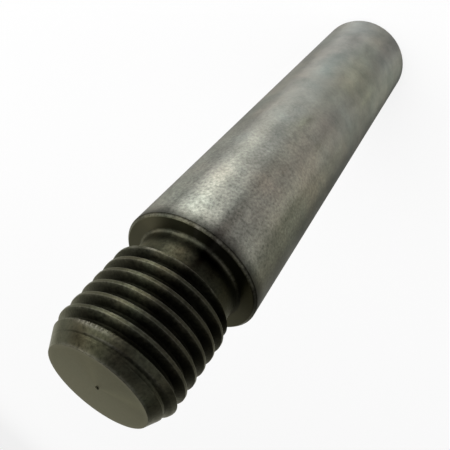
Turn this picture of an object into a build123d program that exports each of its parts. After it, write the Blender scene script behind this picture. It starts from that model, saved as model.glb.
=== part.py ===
from build123d import *
import math
import os

# A threaded taper spigot turned from one bar. It stands on its small plain end with the
# thread on top, its axis on Z and the origin at the centre of the small end.
# Millimetres throughout.

# ---- shank ----
shoulder_width = 1.675     # flat step outside the crests, which makes the large end 25 mm
taper_ratio = 1 / 20       # diameter lost per millimetre of length
taper_length = 80.0        # tapered length between the two edge chamfers
end_chamfer = 1.0          # 45 degree chamfer round the small end
shoulder_chamfer = 0.5     # 45 degree chamfer round the shoulder

# ---- threaded stub: M22 x 2.5, right hand ----
stub_length = 23.5         # shoulder face to tip face
thread_nominal = 22.0      # basic major diameter of the thread form
thread_pitch = 2.5
flank_angle = 30.0         # each flank, from the plane square to the axis
pitch_depth = 3 / 8        # major to pitch radius, as a share of the sharp triangle's height
root_depth = 17 / 24       # major to root radius, as the same share
crest_allowance = 0.35     # finished crests under the basic major diameter, inside 6g
first_groove = 3.717       # tip face down to the first groove centre over +X
tip_step = 0.866           # rim of the flat tip face, radially inside the thread root
tip_angle = 30.0           # lead chamfer, from the axis
nub_dia = 0.7              # what the facing cut leaves at the centre of the tip face
nub_height = 0.15          # with 45 degree sides

# ---- relief groove between thread and shoulder ----
relief_width = 5.6         # shoulder face to the end of the crests
relief_step = 0.266        # relief floor, radially inside the thread root
relief_wall_angle = 60.0   # wall on the thread side, from the axis
relief_fillet = 0.6        # corner between the groove floor and the shoulder

# ---- how far the cutting solids run past the crests ----
thread_overrun = 0.2
ring_overrun = 1.0

# ---- derived sizes ----
shoulder_z = end_chamfer + taper_length + shoulder_chamfer
tip_z = shoulder_z + stub_length
triangle_height = thread_pitch / (2 * math.tan(math.radians(flank_angle)))
pitch_r = thread_nominal / 2 - pitch_depth * triangle_height
root_r = thread_nominal / 2 - root_depth * triangle_height
crest_r = (thread_nominal - crest_allowance) / 2
tip_r = root_r - tip_step
relief_r = root_r - relief_step
shank_r = crest_r + shoulder_width
small_r = shank_r - taper_ratio * taper_length / 2


def turned(*outline):
    """A solid of revolution about Z from closed outlines of (radius, height) edges."""
    with BuildPart() as solid:
        with BuildSketch(Plane.XZ):
            with BuildLine():
                for edge in outline:
                    add(edge)
            make_face()
        revolve(axis=Axis.Z)
    return solid.part


def blank():
    """Shank and plain stub with its facing nub, before the thread is cut."""
    return turned(Polyline(
        (0, 0),
        (small_r - end_chamfer, 0),
        (small_r, end_chamfer),
        (shank_r, shoulder_z - shoulder_chamfer),
        (shank_r - shoulder_chamfer, shoulder_z),
        (crest_r, shoulder_z),
        (crest_r, tip_z),
        (nub_dia / 2, tip_z),
        (nub_dia / 2 - nub_height, tip_z + nub_height),
        (0, tip_z + nub_height),
        close=True,
    ))


def groove_half_width(radius):
    """Half the axial width of the thread groove at a given radius."""
    return thread_pitch / 4 + (radius - pitch_r) * math.tan(math.radians(flank_angle))


def thread_groove():
    """The 60 degree helical groove, from mid relief up past the tip face."""
    start_z = shoulder_z + relief_width / 2
    end_z = tip_z + thread_pitch
    start_turn = (start_z - (tip_z - first_groove)) / thread_pitch
    outer_r = crest_r + thread_overrun
    root_w, outer_w = groove_half_width(root_r), groove_half_width(outer_r)
    corners = [(root_r, -root_w), (outer_r, -outer_w), (outer_r, outer_w), (root_r, root_w)]
    edges = [
        Helix(thread_pitch, end_z - start_z, radius, center=(0, 0, start_z + shift)).edge()
        for radius, shift in corners
    ]
    sides = [Face.make_surface_from_curves(edges[i - 1], edges[i]) for i in range(4)]
    ends = [Face(Wire.make_polygon([e.position_at(t) for e in edges])) for t in (0, 1)]
    return Solid(Shell(sides + ends)).rotate(Axis.Z, 360 * start_turn)


def relief_cut():
    """The ring of metal removed between the last crest and the shoulder."""
    slope = 1 / math.tan(math.radians(relief_wall_angle))
    outer_r = crest_r + ring_overrun
    wall_foot = shoulder_z + relief_width - (crest_r - relief_r) * slope
    corner_r, corner_z = relief_r + relief_fillet, shoulder_z + relief_fillet
    turn = relief_fillet * (1 - math.sqrt(0.5))
    return turned(
        Polyline(
            (relief_r, corner_z),
            (relief_r, wall_foot),
            (outer_r, wall_foot + (outer_r - relief_r) * slope),
            (outer_r, shoulder_z),
            (corner_r, shoulder_z),
        ),
        ThreePointArc((corner_r, shoulder_z), (relief_r + turn, shoulder_z + turn), (relief_r, corner_z)),
    )


def lead_cut():
    """The ring of metal removed by the lead chamfer at the tip."""
    outer_r = crest_r + ring_overrun
    drop = (outer_r - tip_r) / math.tan(math.radians(tip_angle))
    return turned(Polyline(
        (tip_r, tip_z),
        (outer_r, tip_z - drop),
        (outer_r, tip_z + ring_overrun),
        (tip_r, tip_z + ring_overrun),
        close=True,
    ))


spigot = blank() - thread_groove() - relief_cut() - lead_cut()
spigot.label = "threaded_taper_spigot"

os.makedirs("parts", exist_ok=True)
export_step(spigot, "parts/threaded_taper_spigot.step")
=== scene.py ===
import math
import bpy
import numpy as np
from mathutils import Matrix, Vector


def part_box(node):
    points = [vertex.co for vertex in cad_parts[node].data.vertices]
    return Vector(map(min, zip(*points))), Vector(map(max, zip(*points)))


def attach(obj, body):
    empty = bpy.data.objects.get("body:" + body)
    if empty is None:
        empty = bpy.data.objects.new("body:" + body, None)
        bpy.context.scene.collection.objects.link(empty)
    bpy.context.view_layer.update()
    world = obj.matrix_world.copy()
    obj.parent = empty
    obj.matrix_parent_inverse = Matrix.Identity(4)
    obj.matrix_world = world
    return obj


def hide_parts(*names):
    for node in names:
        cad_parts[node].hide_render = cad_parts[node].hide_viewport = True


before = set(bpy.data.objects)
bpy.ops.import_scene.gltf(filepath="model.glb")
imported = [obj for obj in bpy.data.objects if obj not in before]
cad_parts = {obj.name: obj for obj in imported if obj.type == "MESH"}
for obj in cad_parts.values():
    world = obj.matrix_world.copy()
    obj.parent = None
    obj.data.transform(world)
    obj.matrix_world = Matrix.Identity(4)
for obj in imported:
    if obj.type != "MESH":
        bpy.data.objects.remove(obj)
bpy.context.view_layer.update()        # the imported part, in metres, standing on its small end
print("frame loaded")

mm = 0.001
hair = 0.01 * mm         # how far off a plane still counts as on it
partNode = "threaded_taper_spigot"
partLow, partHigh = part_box(partNode)
partHeight = partHigh[2] - partLow[2]
shoulderRadius = (partHigh[0] - partLow[0]) / 2

# camera: where it stands, what it looks at and how far it is turned about its own line of sight
cameraSet = {
    "place": (0.0, -0.07916, 0.13016),
    "forward": (0.00416, 0.78978, -0.61337),
    "up": (0.62960, -0.47861, -0.61200),
    "lens": 45.044,
    "shift": (-0.0011, 0.0011),
    "nearest": 0.01,
    "farthest": 30.0,
}


# the camera's own axes are its right, its up and the way back from what it looks at
def makeCamera():
    data = bpy.data.cameras.new("camera")
    data.lens = cameraSet["lens"]
    data.shift_x, data.shift_y = cameraSet["shift"]
    data.clip_start, data.clip_end = cameraSet["nearest"], cameraSet["farthest"]
    eye = bpy.data.objects.new("camera", data)
    bpy.context.collection.objects.link(eye)
    back = -Vector(cameraSet["forward"]).normalized()
    right = Vector(cameraSet["up"]).cross(back).normalized()
    up = back.cross(right)
    turn = Matrix((right, up, back)).transposed()
    eye.matrix_world = Matrix.Translation(cameraSet["place"]) @ turn.to_4x4()
    bpy.context.scene.camera = eye


makeCamera()
print("camera set")

# spigot: lengths in metres, angles in degrees
spigotSet = {
    "taper": 1 / 20,              # diameter lost per length
    "endChamfer": 1.0 * mm,
    "shoulderChamfer": 0.5 * mm,
    "stubLength": 23.5 * mm,
    "threadNominal": 22.0 * mm,
    "pitch": 2.5 * mm,
    "flank": 30.0,                # half the groove's angle
    "crestRadius": 10.825 * mm,
    "firstGroove": 3.717 * mm,    # tip face down to the groove centre over +X
    "tipStep": 0.866 * mm,        # how far the tip face's rim lies inside the thread's root
    "tipAngle": 30.0,             # slope of the lead cone from the axis
    "nubRadius": 0.35 * mm,       # what the facing cut left at the centre of the tip
    "nubHeight": 0.15 * mm,
    "reliefWidth": 5.6 * mm,
    "reliefStep": 0.266 * mm,     # how far the relief's floor lies inside the thread's root
    "reliefWall": 60.0,           # slope of its wall from the axis
    "reliefFillet": 0.6 * mm,
    "edgeBreak": 0.05 * mm,       # how far the crest corners are rounded
    "chatter": 0.15 * mm,         # depth of the nicks along the first crest's rear edge
    "chatterCount": 80,           # nicks in a full turn
    "chatterPlace": -58.0,        # azimuth at which they are deepest
    "chatterReach": 18.0,
    "chatterHelix": 5.25 * mm,    # tip face down to the nicks' own helix over +X
    "chatterWidth": 0.3 * mm,
    "poleRadius": 0.05 * mm,      # innermost ring of both end faces
    "threadFrom": 1.5 * mm,       # shoulder up to the lowest row that follows the thread's section
    "threadTo": 0.4 * mm,         # tip face down to the highest
    "columns": 320,               # round the axis
    "arcRows": 5,                 # on each rounded corner
    "flankRows": 5,               # on each side of the groove
    "shankSpans": (6, 2, 36, 2, 8, 2),    # rows on each run between corners
    "tipSpans": (1, 10, 1, 1),
}


# root and pitch radius: 17/24 and 3/8 of the sharp triangle's height inside the nominal radius
def threadSizes(s):
    triangle = s["pitch"] / (2 * math.tan(math.radians(s["flank"])))
    root = s["threadNominal"] / 2 - 17 / 24 * triangle
    pitchRadius = s["threadNominal"] / 2 - 3 / 8 * triangle
    return root, pitchRadius


# radii of the relief's floor and of the tip face's rim
def stepRadii(s):
    root, _ = threadSizes(s)
    return root - s["reliefStep"], root - s["tipStep"]


# heights of the tip face and of the shoulder
def stubHeights(s):
    tipZ = partHeight - s["nubHeight"]
    return tipZ, tipZ - s["stubLength"]


# height at which the relief's sloping wall would meet its floor
def wallFootHeight(s, shoulderZ):
    reliefRadius, _ = stepRadii(s)
    run = (s["crestRadius"] - reliefRadius) / math.tan(math.radians(s["reliefWall"]))
    return shoulderZ + s["reliefWidth"] - run


# degrees from one azimuth to each angle, the short way round
def degreesFrom(middle, angle):
    return (np.degrees(angle) - middle + 180) % 360 - 180


# height above the middle of the thread's nearest groove; the groove climbs one pitch a turn
def groovePlace(z, angle, s, tipZ):
    middle = tipZ - s["firstGroove"] + s["pitch"] * angle / (2 * np.pi)
    return (z - middle + s["pitch"] / 2) % s["pitch"] - s["pitch"] / 2


# smaller of two heights, with the corner between them rounded over about the given width
def softMin(a, b, width):
    return (a + b - np.sqrt((a - b) ** 2 + width ** 2)) / 2


# radius of the helical groove's wall: root flat, then flanks that rise with distance from the groove centre
def grooveRadius(z, angle, s, tipZ):
    root, pitchRadius = threadSizes(s)
    away = np.abs(groovePlace(z, angle, s, tipZ))
    flank = pitchRadius + (away - s["pitch"] / 4) / math.tan(math.radians(s["flank"]))
    return -softMin(-np.full_like(flank, root), -flank, s["edgeBreak"])


# nicks left by the chattering tool, 0 to 1: a cosine round the axis, fading away from one azimuth and from a
# helix along the first crest's rear edge
def nickShare(z, angle, s, tipZ):
    off = degreesFrom(s["chatterPlace"], angle)
    along = z - s["pitch"] * angle / (2 * np.pi) - tipZ + s["chatterHelix"]
    fade = np.exp(-(off / s["chatterReach"]) ** 2 - (along / s["chatterWidth"]) ** 2)
    return fade * (1 + np.cos(angle * s["chatterCount"])) / 2


# plain outline of the stub before threading: relief floor, its sloping wall, crests, lead cone
def stubOutline(z, s, shoulderZ, tipZ):
    reliefRadius, tipRadius = stepRadii(s)
    wall = reliefRadius + (z - wallFootHeight(s, shoulderZ)) * math.tan(math.radians(s["reliefWall"]))
    wall = -softMin(-np.full_like(wall, reliefRadius), -wall, s["edgeBreak"])
    lead = tipRadius + (tipZ - z) * math.tan(math.radians(s["tipAngle"]))
    crest = np.full_like(z, s["crestRadius"])
    return softMin(softMin(wall, crest, s["edgeBreak"]), lead, s["edgeBreak"])


# rows (radius, height, normal outward, normal upward) of an outline with rounded corners
# an outline runs upwards with the metal on its left, so its normal is its direction turned clockwise
def roundedRows(corners, radii, spans, arcRows):
    points = np.array(corners, dtype=float)
    steps = np.diff(points, axis=0)
    ways = steps / np.linalg.norm(steps, axis=1)[:, None]
    normals = np.stack([ways[:, 1], -ways[:, 0]], 1)
    rows, start = [], points[0]
    for i, radius in enumerate(radii):
        corner, before, after = points[i + 1], ways[i], ways[i + 1]
        bend = math.atan2(before[0] * after[1] - before[1] * after[0], before @ after)
        reach = radius * math.tan(abs(bend) / 2)
        line = np.linspace(start, corner - before * reach, spans[i] + 1)
        line = line[:-1] if i == 0 else line[1:-1]
        rows.append(np.hstack([line, np.broadcast_to(normals[i], line.shape)]))
        # the corner's arc: its normal swings from one run's to the next
        swing = bend * np.linspace(0, 1, arcRows)[:, None]
        fan = normals[i] * np.cos(swing) + before * np.sin(swing)
        side = math.copysign(radius, bend)
        centre = corner - before * reach - normals[i] * side
        rows.append(np.hstack([centre + fan * side, fan]))
        start = corner + after * reach
    line = np.linspace(start, points[-1], spans[-1] + 1)[1:]
    rows.append(np.hstack([line, np.broadcast_to(normals[-1], line.shape)]))
    return np.concatenate(rows)


# shank rows from the small end's face to the foot of the relief groove
def shankRows(s, shoulderZ, lowZ):
    reliefRadius, _ = stepRadii(s)
    taperTop = shoulderZ - s["shoulderChamfer"]
    smallRadius = shoulderRadius - s["taper"] * (taperTop - s["endChamfer"]) / 2
    corners = [
        (s["poleRadius"], 0.0),
        (smallRadius - s["endChamfer"], 0.0),
        (smallRadius, s["endChamfer"]),
        (shoulderRadius, taperTop),
        (shoulderRadius - s["shoulderChamfer"], shoulderZ),
        (reliefRadius, shoulderZ),
        (reliefRadius, lowZ),
    ]
    radii = [s["edgeBreak"]] * 4 + [s["reliefFillet"]]
    return roundedRows(corners, radii, s["shankSpans"], s["arcRows"])


# tip rows from the lead cone over the rim and the nub to the pole
def tipRows(s, tipZ, highZ):
    _, tipRadius = stepRadii(s)
    lead = tipRadius + (tipZ - highZ) * math.tan(math.radians(s["tipAngle"]))
    corners = [
        (lead, highZ),
        (tipRadius, tipZ),
        (s["nubRadius"], tipZ),
        (s["nubRadius"] - s["nubHeight"], partHeight),
        (s["poleRadius"], partHeight),
    ]
    radii = [s["edgeBreak"], s["edgeBreak"] / 2, s["edgeBreak"] / 2]
    return roundedRows(corners, radii, s["tipSpans"], s["arcRows"])


# places along one pitch of the thread's section, from groove centre to groove centre, close at the corners
def sectionPlaces(s):
    root, pitchRadius = threadSizes(s)
    slope = math.tan(math.radians(s["flank"]))
    rootHalf = (root - pitchRadius) * slope + s["pitch"] / 4
    crestHalf = (s["crestRadius"] - pitchRadius) * slope + s["pitch"] / 4
    near, middle = s["edgeBreak"], s["pitch"] / 2
    half = np.concatenate([
        [0.0, rootHalf - near, rootHalf],
        np.linspace(rootHalf + near, crestHalf - near, s["flankRows"]),
        [crestHalf, crestHalf + near, (crestHalf + near + middle) / 2, middle],
    ])
    return np.concatenate([-half[:0:-1], half[:-1]])


# quads between neighbouring rings of equal length, each ring an array of vertex numbers
def stitch(rings):
    right = np.roll(rings, -1, axis=1)
    return np.stack([rings[:-1], right[:-1], right[1:], rings[1:]], -1).reshape(-1, 4)


# rings of points and normals from rows turned round the axis
def turnRows(rows, angle):
    radius, height, outward, upward = (rows[:, i][:, None] for i in range(4))
    flat = np.ones_like(angle)
    places = np.stack([radius * np.cos(angle), radius * np.sin(angle), height * flat], -1)
    normals = np.stack([outward * np.cos(angle), outward * np.sin(angle), upward * flat], -1)
    return places.reshape(-1, 3), normals.reshape(-1, 3)


# shank, threaded stretch and tip: three sets of rings in one mesh, closed by a pole at each end
def makeSpigot(s):
    n = s["columns"]
    tipZ, shoulderZ = stubHeights(s)
    lowZ, highZ = shoulderZ + s["threadFrom"], tipZ - s["threadTo"]
    angle = np.arange(n) * 2 * np.pi / n

    # threaded stretch: each row climbs one pitch a turn, so it keeps its place on the thread's section
    section = sectionPlaces(s)
    perPitch = len(section)
    firstTurn, turnsEnd = math.floor((lowZ - tipZ) / s["pitch"]) - 1, 4    # counted from the tip face
    turns = np.arange(firstTurn, turnsEnd)
    helix = (turns[:, None] * s["pitch"] + section[None]).ravel() + tipZ - s["firstGroove"]
    z = helix[:, None] + s["pitch"] * angle[None] / (2 * np.pi)
    low, high = z <= lowZ, z >= highZ
    z = np.clip(z, lowZ, highZ)
    across = np.broadcast_to(angle, z.shape)

    # its radius is the smaller of the plain outline and the groove's wall; the normal leans by its slopes
    def stubRadius(height, turned):
        plain = stubOutline(height, s, shoulderZ, tipZ) - s["chatter"] * nickShare(height, turned, s, tipZ)
        return softMin(plain, grooveRadius(height, turned, s, tipZ), s["edgeBreak"])

    radius = stubRadius(z, across)
    step = s["edgeBreak"] / 10    # small enough for the slopes
    rise = (stubRadius(z + step, across) - stubRadius(z - step, across)) / (2 * step)
    cosine, sine = np.cos(across), np.sin(across)
    swing = step / s["crestRadius"]
    around = (stubRadius(z, across + swing) - stubRadius(z, across - swing)) / (2 * swing * radius)
    lean = np.stack([cosine + around * sine, sine - around * cosine, -rise], -1)
    lean /= np.linalg.norm(lean, axis=-1, keepdims=True)

    shankPlaces, shankNormals = turnRows(shankRows(s, shoulderZ, lowZ), angle)
    tipPlaces, tipNormals = turnRows(tipRows(s, tipZ, highZ), angle)
    shank = np.arange(len(shankPlaces)).reshape(-1, n)
    tip = shank.size + np.arange(len(tipPlaces)).reshape(-1, n)
    body = shank.size + tip.size + np.arange(z.size).reshape(z.shape)
    body = np.where(low, shank[-1], np.where(high, tip[0], body))
    lowPole = shank.size + tip.size + z.size
    highPole = lowPole + 1
    threadPlaces = np.stack([radius * cosine, radius * sine, z], -1).reshape(-1, 3)
    poles, poleNormals = [[0, 0, 0], [0, 0, partHeight]], [[0, 0, -1], [0, 0, 1]]
    vertices = np.concatenate([shankPlaces, tipPlaces, threadPlaces, poles])
    normals = np.concatenate([shankNormals, tipNormals, lean.reshape(-1, 3), poleNormals])

    # quads along the rows; across the seam a row meets the row one pitch higher
    inner = np.stack([body[:-1, :-1], body[:-1, 1:], body[1:, 1:], body[1:, :-1]], -1).reshape(-1, 4)
    last, first = body[:-perPitch, -1], body[perPitch:, 0]
    seam = np.stack([last[:-1], first[:-1], first[1:], last[1:]], -1)
    quads = np.concatenate([stitch(shank), inner, seam, stitch(tip)])
    # beyond both ends of the stretch the rows fall together, and a quad with one shut side is a triangle
    leftShut, rightShut = quads[:, 0] == quads[:, 3], quads[:, 1] == quads[:, 2]
    triangles = np.concatenate([
        np.stack([np.roll(shank[0], -1), shank[0], np.full(n, lowPole)], -1),
        np.stack([tip[-1], np.roll(tip[-1], -1), np.full(n, highPole)], -1),
        quads[leftShut & ~rightShut][:, [0, 1, 2]],
        quads[rightShut & ~leftShut][:, [0, 1, 3]],
    ])
    quads = quads[~leftShut & ~rightShut]

    used = np.zeros(len(vertices), dtype=bool)
    used[quads.ravel()] = True
    used[triangles.ravel()] = True
    renumber = np.cumsum(used) - 1
    mesh = bpy.data.meshes.new("spigot")
    mesh.from_pydata(vertices[used], [], renumber[quads].tolist() + renumber[triangles].tolist())
    mesh.polygons.foreach_set("use_smooth", np.ones(len(mesh.polygons), dtype=bool))
    mesh.normals_split_custom_set_from_vertices(normals[used])
    piece = bpy.data.objects.new("spigot", mesh)
    bpy.context.collection.objects.link(piece)
    print("spigot", len(mesh.vertices), "vertices", len(quads) * 2 + len(triangles), "triangles")
    return piece


# how the surfaces are worn and stained, and where shade and highlights are painted on; a soot-and-shade or
# wear-and-highlight value of 1 is full
finishSet = {
    "sootAndShadeDepth": 0.45 * mm,       # groove depth over which the oily black and the painted shade build up
    "leadFade": 0.9 * mm,        # the partial groove on the lead cone holds less of the oily black and painted shade
    "crestShade": 0.4,             # painted shade on the crests of the side away from the lamps
    "crestReach": 0.2 * mm,       # how far inside the crests it fades
    # how dark the whole relief floor is made
    "reliefDark": 0.2,
    "cornerShade": 0.9,            # painted shadow: a dark band on the relief's floor beside the shoulder
    "cornerPlace": 1.3 * mm,
    "cornerReach": 1.2 * mm,
    "filletHeight": 0.7 * mm,     # the relief's fillet has no oily black or painted shade up to here
    # painted highlight: a bright ring on the relief's fillet
    "filletHighlight": 0.12,
    "filletPlace": (0.15 * mm, 0.1 * mm),    # outward from the relief's floor and up from the shoulder
    "filletReach": 0.3 * mm,
    "edgeShade": 0.85,             # painted shade: a dark line where the chamfer meets the ground shank
    "edgeShadeWidth": 0.15 * mm,
    "wearWidth": 0.07 * mm,       # half width of the bright line on a crest's corner
    "rearWear": 0.6,              # on the corner towards the shoulder
    "frontWear": 0.25,            # on the corner towards the tip
    "litMost": -45.0,            # azimuth that faces the lamps most, where the crests' corners get the most painted highlight
    "litLeast": 0.25,            # and the share of it left on the far side
    "rimBright": 0.2,               # on the tip face's rim
    "rimWidth": 0.12 * mm,
    "chamferWear": 0.25,
    "chamferEnds": (0.1 * mm, 0.06 * mm),    # left unworn at the shoulder chamfer's lower and upper edge
    "gritReach": 34 * mm,         # how far below the shoulder the coarse speckle fades
    "gritLeast": 0.2,
    "gritStub": 0.7,
    "nickDark": 0.95,             # wear and painted highlight lost in the chatter nicks
    "skin": 0.1 * mm,             # how far past a round face still counts as on it
    # bright spots: azimuth and half width in degrees, height and reach in metres, how bright they are made
    "brightSpots": (
        (-52, 7, 86.95 * mm, 0.4 * mm, 0.9),
        (-34, 4, 87.3 * mm, 0.3 * mm, 0.6),
        (-56, 14, 101.9 * mm, 0.25 * mm, 0.7),
        (-74, 2, 81.3 * mm, 0.2 * mm, 0.8),
        (-92, 3, 81.3 * mm, 0.2 * mm, 0.6),
    ),
    # stains, painted highlights and painted shade: azimuth and half width in degrees, height and reach in
    # metres, and the share that red, green and blue gain or lose
    "stainsAndPaintedLight": (
        # painted highlight: the lamp's streak down the shank, at -62 and spreading towards -77
        (-62, 9, 82 * mm, 26 * mm, (0.85, 0.85, 0.76)),
        (-77, 7, 74 * mm, 24 * mm, (0.35, 0.34, 0.30)),
        (-89, 5, 82 * mm, 13 * mm, (-0.35, -0.38, -0.38)),
        # painted reflection: a paler band on the shank from about -100 to -122
        (-104, 17, 60 * mm, 20 * mm, (0.30, 0.21, 0.15)),
        (-112, 7, 58 * mm, 24 * mm, (0.20, 0.20, 0.15)),
        (-136, 18, 72 * mm, 26 * mm, (-0.04, -0.06, -0.22)),
        (-84, 4, 47.6 * mm, 1.7 * mm, (0.32, 0.35, 0.20)),
        (-87, 3, 45.3 * mm, 0.8 * mm, (-0.28, -0.27, -0.30)),
        (-79, 5, 51 * mm, 1.2 * mm, (0.16, 0.17, 0.08)),
        (-108, 4, 50 * mm, 1.5 * mm, (-0.20, -0.20, -0.22)),
        (-96, 3, 60 * mm, 1.2 * mm, (-0.18, -0.22, -0.22)),
        (-121, 5, 26 * mm, 5 * mm, (0.22, 0.22, 0.12)),
        (-97, 7, 29 * mm, 1.4 * mm, (0.14, 0.13, 0.04)),
        (-66, 12, 27 * mm, 8 * mm, (-0.06, 0.03, 0.05)),
        (-32, 16, 76 * mm, 6 * mm, (0.13, 0.13, 0.08)),
        (-104, 24, 24 * mm, 8 * mm, (0.07, 0.08, -0.05)),
        (-140, 20, 14 * mm, 18 * mm, (0.55, 0.57, 0.44)),
        (-90, 9, 56 * mm, 16 * mm, (0.42, 0.38, 0.32)),
        (-90, 13, 20 * mm, 24 * mm, (0.48, 0.50, 0.42)),
        (-75, 9, 58 * mm, 11 * mm, (-0.34, -0.33, -0.30)),
        (-122, 7, 66 * mm, 9 * mm, (-0.22, -0.21, -0.24)),
        (-132, 11, 48 * mm, 18 * mm, (0.28, 0.28, 0.22)),
        (-90, 90, 4 * mm, 34 * mm, (0.0, 0.0, 0.05)),
        (-100, 16, 42 * mm, 6 * mm, (0.03, 0.00, 0.02)),
        (20, 30, 60 * mm, 22 * mm, (0.12, 0.06, 0.02)),
        (95, 34, 66 * mm, 20 * mm, (-0.12, -0.14, -0.18)),
        (150, 26, 34 * mm, 16 * mm, (0.10, 0.12, 0.06)),
        (60, 24, 20 * mm, 12 * mm, (-0.08, -0.04, 0.02)),
        # painted highlight on the stub towards -48 and -70
        (-48, 9, 94 * mm, 11 * mm, (0.40, 0.40, 0.30)),
        (-70, 9, 94 * mm, 11 * mm, (0.35, 0.36, 0.22)),
        # painted shade on the stub towards -104
        (-104, 16, 92 * mm, 12 * mm, (-0.35, -0.35, -0.35)),
        # painted shade on the relief's floor on the right
        (-105, 30, 83.8 * mm, 2.0 * mm, (-0.62, -0.62, -0.62)),
        (-30, 12, 40 * mm, 50 * mm, (0.12, 0.12, 0.10)),
        # painted shade on the stub's right side
        (-155, 18, 92 * mm, 14 * mm, (-0.50, -0.50, -0.50)),
        # painted shade on the lead cone, over the lamps' highlight there
        (-74, 32, 103.8 * mm, 1.6 * mm, (-0.50, -0.53, -0.53)),
        (-52, 14, 103.8 * mm, 1.4 * mm, (-0.22, -0.27, -0.32)),
        (-112, 12, 104 * mm, 1.5 * mm, (-0.35, -0.35, -0.35)),
        # the lead cone made lighter on the right
        (-140, 9, 104 * mm, 1.5 * mm, (0.6, 0.6, 0.5)),
        # painted highlight on the relief's floor and its fillet ring on the left, at -30
        (-30, 14, 85 * mm, 2 * mm, (0.40, 0.38, 0.30)),
        (-30, 16, 81.5 * mm, 0.35 * mm, (0.8, 0.78, 0.7)),
        # painted shade on the fillet's lit ring towards -98 and on the shoulder's right side
        (-98, 28, 82.6 * mm, 0.7 * mm, (-0.5, -0.5, -0.5)),
        (-150, 30, 81.6 * mm, 0.8 * mm, (-0.6, -0.6, -0.6)),
    ),
}


# how close a point of the section is to a corner, from 1 on it to 0 away from it
def closeTo(radius, height, corner, width):
    return np.exp(-((radius - corner[0]) ** 2 + (height - corner[1]) ** 2) / width ** 2)


# share of a spot: a bell over azimuth and height, 1 at its middle
def spotShare(angle, z, spot):
    middle, halfWidth, height, reach = spot
    return np.exp(-(degreesFrom(middle, angle) / halfWidth) ** 2 - ((z - height) / reach) ** 2)


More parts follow.
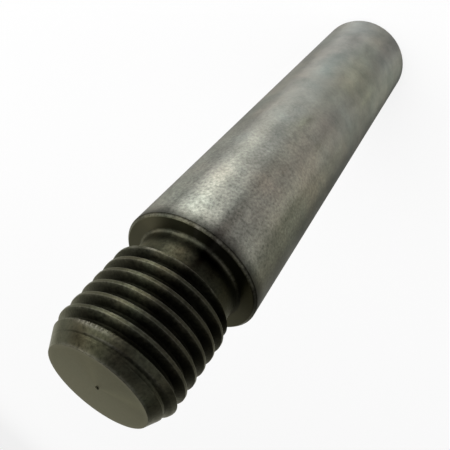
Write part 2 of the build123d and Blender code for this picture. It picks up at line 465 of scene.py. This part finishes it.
# for each vertex: soot and shade (oily black and painted shade), wear and highlight (rubbed bright and
# painted highlight), grit (how coarse the speckle is), tone (stains, painted highlights and painted shade)
def paintSpigot(piece, s, f):
    mesh = piece.data
    places = np.empty(len(mesh.vertices) * 3)
    mesh.vertices.foreach_get("co", places)
    x, y, z = places.reshape(-1, 3).T
    radius, angle = np.hypot(x, y), np.arctan2(y, x) % (2 * np.pi)
    tipZ, shoulderZ = stubHeights(s)
    edgeZ = shoulderZ - s["shoulderChamfer"]
    wallFoot = wallFootHeight(s, shoulderZ)
    root, _ = threadSizes(s)
    reliefRadius, tipRadius = stepRadii(s)
    onShank = z < shoulderZ - hair
    outsideRoot = radius > root + f["skin"]
    # painted light: how much each azimuth faces the lamps, the square of a raised cosine
    litShare = ((1 + np.cos(angle - np.radians(f["litMost"]))) / 2) ** 2

    # soot and painted shade: 1 - exp(-depth below the plain outline / its reach) in the grooves, less of it
    # on the lead cone;
    # a darkening and a painted shadow band on the relief's floor; a little painted shade on the crests away
    # from the lamps; a painted dark line on the shank's edge
    outline = stubOutline(z, s, shoulderZ, tipZ)
    grooveSootAndShade = 1 - np.exp(-np.clip(outline - radius, 0, None) / f["sootAndShadeDepth"])
    grooveSootAndShade = grooveSootAndShade * np.exp(-(s["crestRadius"] - outline) / f["leadFade"])
    # painted shadow: a dark band on the relief's floor beside the shoulder
    band = f["cornerShade"] * np.exp(-((z - shoulderZ - f["cornerPlace"]) / f["cornerReach"]) ** 2)
    # below the wall's foot: the relief's floor darkened all over, with the painted shadow band; above it the
    # grooves
    sootAndShade = np.where(z < wallFoot, np.maximum(f["reliefDark"], band), grooveSootAndShade)
    onFillet = (radius > reliefRadius + f["skin"]) & (z < shoulderZ + f["filletHeight"])
    sootAndShade = np.where(onFillet, 0, sootAndShade)
    onCrest = np.clip((radius - s["crestRadius"]) / f["crestReach"] + 1, 0, 1) * (z > wallFoot)
    # painted shade on the crests of the side away from the lamps
    sootAndShade = np.maximum(sootAndShade, f["crestShade"] * (1 - litShare) * onCrest)
    # painted shade: a dark line on the shank's edge
    edgeShade = f["edgeShade"] * closeTo(radius, z, (shoulderRadius, edgeZ), f["edgeShadeWidth"])
    sootAndShade = np.where(onShank, edgeShade, sootAndShade)

    # wear and painted highlight: on the crests' corners, where the plain outline and the groove's wall are
    # equally high, brighter towards the lamps; on the tip's rim, a painted highlight on the relief's fillet,
    # the shoulder's chamfer; and on the bright spots; less in the chatter nicks
    wall = grooveRadius(z, angle, s, tipZ)
    aboveGroove = groovePlace(z, angle, s, tipZ) > 0
    crestWearAndHighlight = np.where(aboveGroove, f["rearWear"], f["frontWear"]) * outsideRoot * ~onShank
    crestWearAndHighlight = crestWearAndHighlight * np.exp(-((outline - wall) / f["wearWidth"]) ** 2)
    # painted highlight: the crests' corners brighter on the side towards the lamps
    crestWearAndHighlight = crestWearAndHighlight * (f["litLeast"] + (1 - f["litLeast"]) * litShare)
    rimBright = f["rimBright"] * closeTo(radius, z, (tipRadius, tipZ), f["rimWidth"])
    # painted highlight: a bright ring on the relief's fillet
    outward, upward = f["filletPlace"]
    filletFoot = (reliefRadius + outward, shoulderZ + upward)
    rimBright = np.maximum(rimBright, f["filletHighlight"] * closeTo(radius, z, filletFoot, f["filletReach"]))
    lowerEnd, upperEnd = f["chamferEnds"]
    onChamfer = (z > edgeZ + lowerEnd) & (z < shoulderZ - upperEnd)
    rimBright = np.maximum(rimBright, f["chamferWear"] * onChamfer)
    wearAndHighlight = np.maximum(crestWearAndHighlight, rimBright)
    for *spot, most in f["brightSpots"]:
        wearAndHighlight = np.maximum(wearAndHighlight, most * spotShare(angle, z, spot) * outsideRoot)
    wearAndHighlight = wearAndHighlight * (1 - f["nickDark"] * nickShare(z, angle, s, tipZ))

    # grit: full at the shoulder, fading down the shank; the stub has its own
    grit = np.maximum(f["gritLeast"], np.exp(-((edgeZ - z) / f["gritReach"]) ** 2))
    grit = np.where(onShank, grit, f["gritStub"])

    # tone: 1 plus the gain of each stain, painted highlight and painted shade times its share
    toneAndPaintedLight = np.ones((len(z), 4))
    for *spot, gain in f["stainsAndPaintedLight"]:
        toneAndPaintedLight[:, :3] += spotShare(angle, z, spot)[:, None] * np.array(gain)

    for name, values in (("sootAndShade", sootAndShade), ("wearAndHighlight", wearAndHighlight), ("grit", grit)):
        layer = mesh.attributes.new(name, "FLOAT", "POINT")
        layer.data.foreach_set("value", np.clip(values, 0, 1).astype(np.float32))
    layer = mesh.attributes.new("toneAndPaintedLight", "FLOAT_COLOR", "POINT")
    layer.data.foreach_set("color", toneAndPaintedLight.ravel().astype(np.float32))
    print("soot, wear, grit and tone painted,", len(f["stainsAndPaintedLight"]), "stainsAndPaintedLight")


# the three finishes of one steel; lengths in metres, noise scales per metre
steelSet = {
    "ground": {
        "plain": (0.184, 0.183, 0.162),
        "warm": (0.186, 0.174, 0.150),
        "cool": (0.172, 0.182, 0.164),
        "edge": (0.98, 0.97, 0.90),    # tint of what it reflects at a grazing angle
        "roughness": 0.5,
        "roughnessSwing": 0.1,         # how far the grain moves it either way
        "roughnessFall": 0.2,          # what is added where the grit is 0
        "anisotropy": 1.0,
        "grain": 1.15,                 # how strongly the speckle lightens and darkens
        "grainScale": 2000.0,
        "patchScale": 170.0,
        "mottle": 0.55,                # and the larger patches
        "relief": 1.0,                 # times the bump depths below
    },
    "turned": {
        "plain": (0.034, 0.033, 0.022),
        "warm": (0.035, 0.030, 0.020),
        "cool": (0.030, 0.033, 0.023),
        "edge": (0.95, 0.94, 0.80),
        "roughness": 0.44,
        "roughnessSwing": 0.08,
        "roughnessFall": 0.0,
        "anisotropy": 0.85,
        "grain": 1.5,
        "grainScale": 2000.0,
        "patchScale": 260.0,
        "mottle": 0.8,
        "relief": 3.0,
    },
    "faced": {
        "plain": (0.040, 0.039, 0.026),
        "warm": (0.040, 0.037, 0.025),
        "cool": (0.037, 0.038, 0.026),
        "edge": (0.90, 0.88, 0.73),
        "roughness": 0.42,
        "roughnessSwing": 0.02,
        "roughnessFall": 0.0,
        "anisotropy": 0.0,
        "grain": 0.12,
        "grainScale": 2200.0,
        "patchScale": 200.0,
        "mottle": 0.15,
        "relief": 0.3,
    },
    "bright": (0.26, 0.25, 0.22),      # where it is worn and where highlights are painted
    "brightGrain": 0.7,                   # the brightening's share that needs grain
    "brightPlain": 0.15,                  # and the share that doesn't
    "sootAndShadeDark": 0.95,                  # share of the colour that full soot and painted shade take
    "ringScale": 2400.0,
    "ringDepth": 0.006 * mm,
    "grainDepth": 0.006 * mm,
    "contrast": 2.2,                   # of the grain and of both kinds of patches
    "grainNoise": (4.0, 0.62),         # detail and roughness of each noise
    "warmNoise": (6.0, 0.66),
    "coolNoise": (2.0, 0.5),
    "ringNoise": (2.0, 0.5),
    "coolScale": 0.7,                  # share of the warm patches' scale
    "coolShift": (0.5, 0.2, 0.7),      # so that the cool patches don't follow the warm ones
    "streakTurn": 0.25,                # share of a turn, so that the streaks run round the axis
}


# a shader node; a value given as another node's output is linked, anything else is set on the socket
def addNode(tree, kind, settings, sockets):
    made = tree.nodes.new(kind)
    for name, value in settings.items():
        setattr(made, name, value)
    for name, value in sockets.items():
        if isinstance(value, bpy.types.NodeSocket):
            tree.links.new(value, made.inputs[name])
        else:
            made.inputs[name].default_value = value
    return made


# first and second joined by one operation; a MULTIPLY_ADD adds the third
def addMath(tree, operation, first, second=0.0, third=0.0, clamp=False):
    settings = {"operation": operation, "use_clamp": clamp}
    return addNode(tree, "ShaderNodeMath", settings, {0: first, 1: second, 2: third}).outputs[0]


# fractal noise, about 0.5 on average
def addNoise(tree, place, scale, fineness):
    detail, coarse = fineness
    sockets = {"Vector": place, "Scale": scale, "Detail": detail, "Roughness": coarse}
    return addNode(tree, "ShaderNodeTexNoise", {}, sockets).outputs[0]


# a noise spread out from its middle: (noise - 0.5) x contrast + 0.5, kept within 0 and 1
def spread(tree, noise, contrast):
    return addMath(tree, "MULTIPLY_ADD", noise, contrast, 0.5 - contrast / 2, clamp=True)


# two colours: first x (1 - share) + second x share, or their product where the blend says so
def addMix(tree, share, first, second, blend="MIX"):
    mix = addNode(tree, "ShaderNodeMix", {"data_type": "RGBA", "blend_type": blend}, {"Factor": share})
    for name, value in (("A", first), ("B", second)):
        socket = [i for i in mix.inputs if i.name == name and i.type == "RGBA"][0]
        if isinstance(value, bpy.types.NodeSocket):
            tree.links.new(value, socket)
        else:
            socket.default_value = (*value, 1)
    return [o for o in mix.outputs if o.type == "RGBA"][0]


# colour: plain steel mixed with a warm and a cool one by large noise, times the tone of the stains, painted
# highlights and painted shade, times 1 + grain x grit, times what the soot and painted shade leave, times
# the mottling; then made bright where the wear and painted highlight and the grain are both high; roughness:
# its own value plus a swing from the grain, and more where the grit is low; bump: turning rings round the
# axis, and the grain
def makeSteel(name, s, kit):
    material = bpy.data.materials.new(name)
    material.use_nodes = True
    tree = material.node_tree
    shader = tree.nodes["Principled BSDF"]
    place = addNode(tree, "ShaderNodeTexCoord", {}, {}).outputs["Object"]
    sootAndShade, wearAndHighlight, grit = (addNode(tree, "ShaderNodeAttribute", {"attribute_name": n}, {}).outputs["Fac"]
                        for n in ("sootAndShade", "wearAndHighlight", "grit"))
    toneAndPaintedLight = addNode(tree, "ShaderNodeAttribute", {"attribute_name": "toneAndPaintedLight"}, {}).outputs["Color"]

    grain = spread(tree, addNoise(tree, place, s["grainScale"], kit["grainNoise"]), kit["contrast"])
    warmth = spread(tree, addNoise(tree, place, s["patchScale"], kit["warmNoise"]), kit["contrast"])
    shift = {0: place, 1: kit["coolShift"]}
    shifted = addNode(tree, "ShaderNodeVectorMath", {"operation": "ADD"}, shift).outputs[0]
    coolScale = s["patchScale"] * kit["coolScale"]
    coolness = spread(tree, addNoise(tree, shifted, coolScale, kit["coolNoise"]), kit["contrast"])
    colour = addMix(tree, coolness, addMix(tree, warmth, s["plain"], s["warm"]), s["cool"])
    colour = addMix(tree, 1.0, colour, toneAndPaintedLight, "MULTIPLY")

    swing = addMath(tree, "MULTIPLY", grit, s["grain"])
    light = addMath(tree, "MULTIPLY_ADD", addMath(tree, "SUBTRACT", grain, 0.5), swing, 1.0)
    sootAndShadeLeft = addMath(tree, "MULTIPLY_ADD", sootAndShade, -kit["sootAndShadeDark"], 1.0)
    light = addMath(tree, "MULTIPLY", light, sootAndShadeLeft)
    clouds = addMath(tree, "MULTIPLY_ADD", warmth, s["mottle"], 1 - s["mottle"] / 2)
    scaled = {0: colour, "Scale": addMath(tree, "MULTIPLY", light, clouds)}
    colour = addNode(tree, "ShaderNodeVectorMath", {"operation": "SCALE"}, scaled).outputs[0]
    grainShare = addMath(tree, "MULTIPLY_ADD", grain, kit["brightGrain"], kit["brightPlain"])
    brightening = addMath(tree, "MULTIPLY", wearAndHighlight, grainShare, clamp=True)
    colour = addMix(tree, brightening, colour, kit["bright"])
    tree.links.new(colour, shader.inputs["Base Color"])

    lowest = s["roughness"] - s["roughnessSwing"]
    rough = addMath(tree, "MULTIPLY_ADD", grain, 2 * s["roughnessSwing"], lowest)
    fall = addMath(tree, "MULTIPLY_ADD", grit, -s["roughnessFall"], s["roughnessFall"])
    tree.links.new(addMath(tree, "ADD", rough, fall), shader.inputs["Roughness"])
    shader.inputs["Metallic"].default_value = 1
    shader.inputs["Specular Tint"].default_value = (*s["edge"], 1)
    shader.inputs["Anisotropic"].default_value = s["anisotropy"]
    if s["anisotropy"] > 0:
        shader.inputs["Anisotropic Rotation"].default_value = kit["streakTurn"]
        tangent = addNode(tree, "ShaderNodeTangent", {"direction_type": "RADIAL", "axis": "Z"}, {})
        tree.links.new(tangent.outputs[0], shader.inputs["Tangent"])

    # the rings' noise is read at the distance from the axis and the height, so it is the same all round
    x, y, z = addNode(tree, "ShaderNodeSeparateXYZ", {}, {0: place}).outputs
    squares = addMath(tree, "POWER", x, 2.0), addMath(tree, "POWER", y, 2.0)
    radial = addMath(tree, "SQRT", addMath(tree, "ADD", *squares))
    section = addNode(tree, "ShaderNodeCombineXYZ", {}, {0: radial, 1: z}).outputs[0]
    rings = addNoise(tree, section, kit["ringScale"], kit["ringNoise"])
    ringSockets = {"Height": rings, "Distance": kit["ringDepth"] * s["relief"]}
    ringBump = addNode(tree, "ShaderNodeBump", {}, ringSockets).outputs[0]
    grainHeight = addMath(tree, "MULTIPLY", grain, grit)
    grainSockets = {"Height": grainHeight, "Distance": kit["grainDepth"] * s["relief"], "Normal": ringBump}
    grainBump = addNode(tree, "ShaderNodeBump", {}, grainSockets).outputs[0]
    tree.links.new(grainBump, shader.inputs["Normal"])
    return material


# ground steel on the shank, turned steel on the stub, faced steel on the tip and on the shoulder's face
def dressSpigot(piece, s, kit):
    for name in ("ground", "turned", "faced"):
        piece.data.materials.append(makeSteel(name + "Steel", kit[name], kit))
    ground, turned, faced = range(3)
    middles = np.empty(len(piece.data.polygons) * 3)
    piece.data.polygons.foreach_get("center", middles)
    z = middles[2::3]
    tipZ, shoulderZ = stubHeights(s)
    steels = np.where(z > shoulderZ - s["shoulderChamfer"], turned, ground)
    steels = np.where((z > tipZ - hair) | (np.abs(z - shoulderZ) < hair), faced, steels)
    piece.data.polygons.foreach_set("material_index", steels.astype(np.int32))
    print("steels laid on", len(steels), "faces")


spigot = makeSpigot(spigotSet)
paintSpigot(spigot, spigotSet, finishSet)
dressSpigot(spigot, spigotSet, steelSet)
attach(spigot, "root")
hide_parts(partNode)

# floor: a wide flat sheet, part lit and part glowing white to the eye and to reflections
floorSet = {
    "size": 6.0,                  # half its width
    "colour": (0.9, 0.9, 0.9, 1),
    "glow": 0.82,
}


# its shader is diffuse paper, with the glow's share of white for rays that see it straight or in a mirror
def makeFloor(s):
    size = s["size"]
    corners = [(-size, -size, 0), (size, -size, 0), (size, size, 0), (-size, size, 0)]
    mesh = bpy.data.meshes.new("floor")
    mesh.from_pydata(corners, [], [(0, 1, 2, 3)])
    floor = bpy.data.objects.new("floor", mesh)
    bpy.context.collection.objects.link(floor)
    material = bpy.data.materials.new("floor")
    material.use_nodes = True
    tree = material.node_tree
    tree.nodes.clear()
    path = addNode(tree, "ShaderNodeLightPath", {}, {}).outputs
    seen = addMath(tree, "MAXIMUM", path["Is Camera Ray"], path["Is Glossy Ray"])
    seen = addMath(tree, "MAXIMUM", seen, path["Is Transmission Ray"])
    share = addMath(tree, "MULTIPLY", seen, s["glow"])
    paper = addNode(tree, "ShaderNodeBsdfDiffuse", {}, {"Color": s["colour"]}).outputs[0]
    white = addNode(tree, "ShaderNodeEmission", {}, {}).outputs[0]
    mix = addNode(tree, "ShaderNodeMixShader", {}, {0: share, 1: paper, 2: white}).outputs[0]
    addNode(tree, "ShaderNodeOutputMaterial", {}, {"Surface": mix})
    mesh.materials.append(material)


makeFloor(floorSet)

# lamps: azimuth from +X towards +Y and elevation in degrees, size in metres, brightness of the lamp's face
lampSet = {
    "key": {"azimuth": -30, "elevation": 10, "size": (0.36, 0.26), "brightness": 9.0},
    "lowFront": {"azimuth": -60, "elevation": 15, "size": (0.3, 0.3), "brightness": 4.2},
    "front": {"azimuth": -75, "elevation": 20, "size": (0.5, 0.4), "brightness": 1.2},
    "top": {"azimuth": -30, "elevation": 65, "size": (0.36, 0.3), "brightness": 2.2},
    "side": {"azimuth": 12, "elevation": 22, "size": (0.5, 0.36), "brightness": 2.6},
    "fill": {"azimuth": -121, "elevation": 25, "size": (0.55, 0.4), "brightness": 2.0},
    "back": {"azimuth": 75, "elevation": 20, "size": (0.7, 0.35), "brightness": 1.1},
    "rear": {"azimuth": 205, "elevation": 20, "size": (0.5, 0.36), "brightness": 1.3},
}
lampDistance = 0.6    # metres from the middle of the part, which every lamp faces
ambient = 0.15


# a lamp's energy is its face's brightness times pi times its area
def makeLamp(name, s):
    azimuth, elevation = math.radians(s["azimuth"]), math.radians(s["elevation"])
    level = math.cos(elevation)
    way = Vector((level * math.cos(azimuth), level * math.sin(azimuth), math.sin(elevation)))
    data = bpy.data.lights.new(name, "AREA")
    data.shape = "RECTANGLE"
    data.size, data.size_y = s["size"]
    data.energy = s["brightness"] * math.pi * data.size * data.size_y
    lamp = bpy.data.objects.new(name, data)
    bpy.context.collection.objects.link(lamp)
    middle = Vector((0, 0, partHeight / 2))
    aim = way.to_track_quat("Z", "Y").to_matrix().to_4x4()
    lamp.matrix_world = Matrix.Translation(middle + way * lampDistance) @ aim
    lamp.visible_camera = False


for lampName, lampValues in lampSet.items():
    makeLamp(lampName, lampValues)

world = bpy.data.worlds.new("studio")
bpy.context.scene.world = world
world.use_nodes = True
sky = world.node_tree.nodes["Background"]
sky.inputs["Color"].default_value = (1, 1, 1, 1)
sky.inputs["Strength"].default_value = ambient
print("floor and lamps made")

bpy.context.scene.view_settings.view_transform = "Standard"
